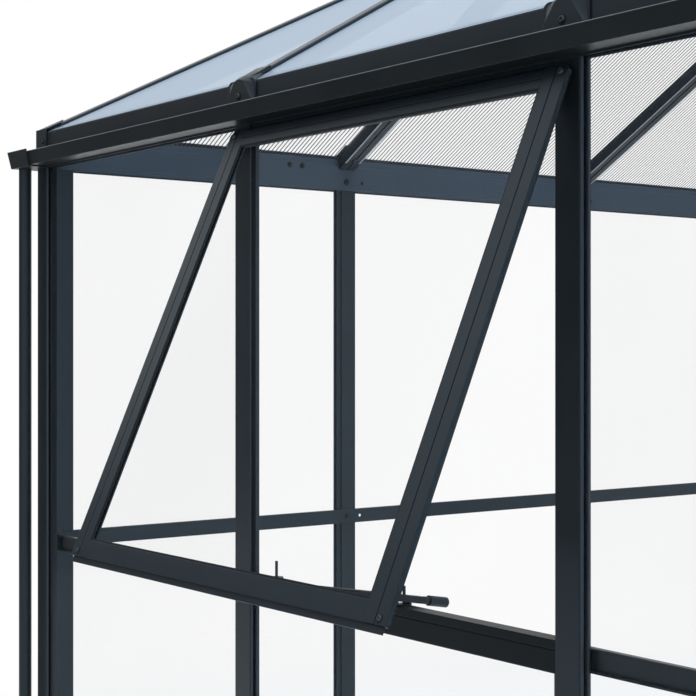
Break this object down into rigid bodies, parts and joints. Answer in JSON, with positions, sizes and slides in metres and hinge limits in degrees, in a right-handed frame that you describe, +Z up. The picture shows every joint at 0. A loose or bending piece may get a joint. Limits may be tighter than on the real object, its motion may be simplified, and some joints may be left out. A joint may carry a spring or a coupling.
{
  "type": "greenhouse",
  "caption": "Walk-in greenhouse with a hipped twin-wall roof, clear panes in dark metal frames, gutters, double doors and a top-hung window on a pegged stay.",
  "frame": {"origin": "centre of the plan at ground level, in the middle of the four anchor holes", "axes": "+Z up, +X from left to right along the window wall seen from outside, +Y from the window wall into the building; the doors are on the +X wall"},
  "size_m": [2.3502, 3.3385, 2.5061],
  "materials": {
    "frame": "dark grey powder coat",
    "gutter": "dark grey powder coat",
    "plastic": "moulded, satin",
    "pane": "clear",
    "roof": "translucent, ribbed",
    "trim": "satin",
    "steel": "dark coated",
    "handle": "satin coat"
  },
  "bodies": {
    "house": {"base_rails": "frame", "door_threshold": "frame", "corner_posts": "frame", "wall_posts": "frame", "eave_beam_front": "frame", "eave_beam_right": "frame", "eave_beam_back": "frame", "eave_beam_left": "frame", "mid_rail_front": "frame", "mid_rail_right": "frame", "mid_rail_back": "frame", "mid_rail_left": "frame", "window_sill": "frame", "window_head": "frame", "rafters": "frame", "hip_rafters": "frame", "ridge_beam": "frame", "rafter_strips": "frame", "hip_strips": "frame", "ridge_strip": "frame", "gutter_front": "gutter", "gutter_right": "gutter", "gutter_back": "gutter", "gutter_left": "gutter", "gutter_corners": "plastic", "downpipes": "plastic", "downpipe_clips": "plastic", "rafter_end_caps": "plastic", "corner_caps": "plastic", "stay_pegs": "plastic", "panes_front": "pane", "panes_right": "pane", "panes_back": "pane", "panes_left": "pane", "roof_sheets_front": "roof", "roof_sheets_right": "roof", "roof_sheets_back": "roof", "roof_sheets_left": "roof", "sheet_trims": "trim", "anchor_brackets": "steel", "hinge_post_halves": "steel"},
    "window": {"sash_stile_left": "frame", "sash_stile_right": "frame", "sash_top_rail": "frame", "sash_bottom_rail": "frame", "sash_pane": "pane", "stay_bracket": "plastic"},
    "stay": {"stay_bar": "steel", "stay_grip": "plastic"},
    "door_left": {"door_frame_left": "frame", "door_panes_left": "pane", "hinge_leaf_halves_left": "steel", "bolt_guides": "plastic"},
    "door_right": {"door_frame_right": "frame", "door_panes_right": "pane", "hinge_leaf_halves_right": "steel", "handle_roses": "handle"},
    "handle": {"door_handle": "handle", "latch_finger": "steel"},
    "bolt": {"floor_bolt": "steel"}
  },
  "joints": [
    {"name": "window_hinge", "type": "hinge", "parent": "house", "child": "window", "pos_m": [0, -1.503, 1.7675], "axis": [1, 0, 0], "range_deg": [0, 23.5]},
    {"name": "stay_lift", "type": "hinge", "parent": "window", "child": "stay", "pos_m": [0.0246, -1.77008, 1.11814], "axis": [1, 0, 0], "range_deg": [0, 23.5]},
    {"name": "door_left_hinge", "type": "hinge", "parent": "house", "child": "door_left", "pos_m": [1.134, -0.7115, 0.9], "axis": [0, 0, -1], "range_deg": [0, 110]},
    {"name": "door_right_hinge", "type": "hinge", "parent": "house", "child": "door_right", "pos_m": [1.134, 0.7115, 0.9], "axis": [0, 0, 1], "range_deg": [0, 110]},
    {"name": "handle_turn", "type": "hinge", "parent": "door_right", "child": "handle", "pos_m": [1.127, 0.0245, 0.98], "axis": [1, 0, 0], "range_deg": [0, 90]},
    {"name": "bolt_slide", "type": "slide", "parent": "door_left", "child": "bolt", "axis": [0, 0, -1], "range_m": [0, 0.022]}
  ],
  "couplings": [
    {"joint": "stay_lift", "follows": "window_hinge", "ratio": 1}
  ]
}
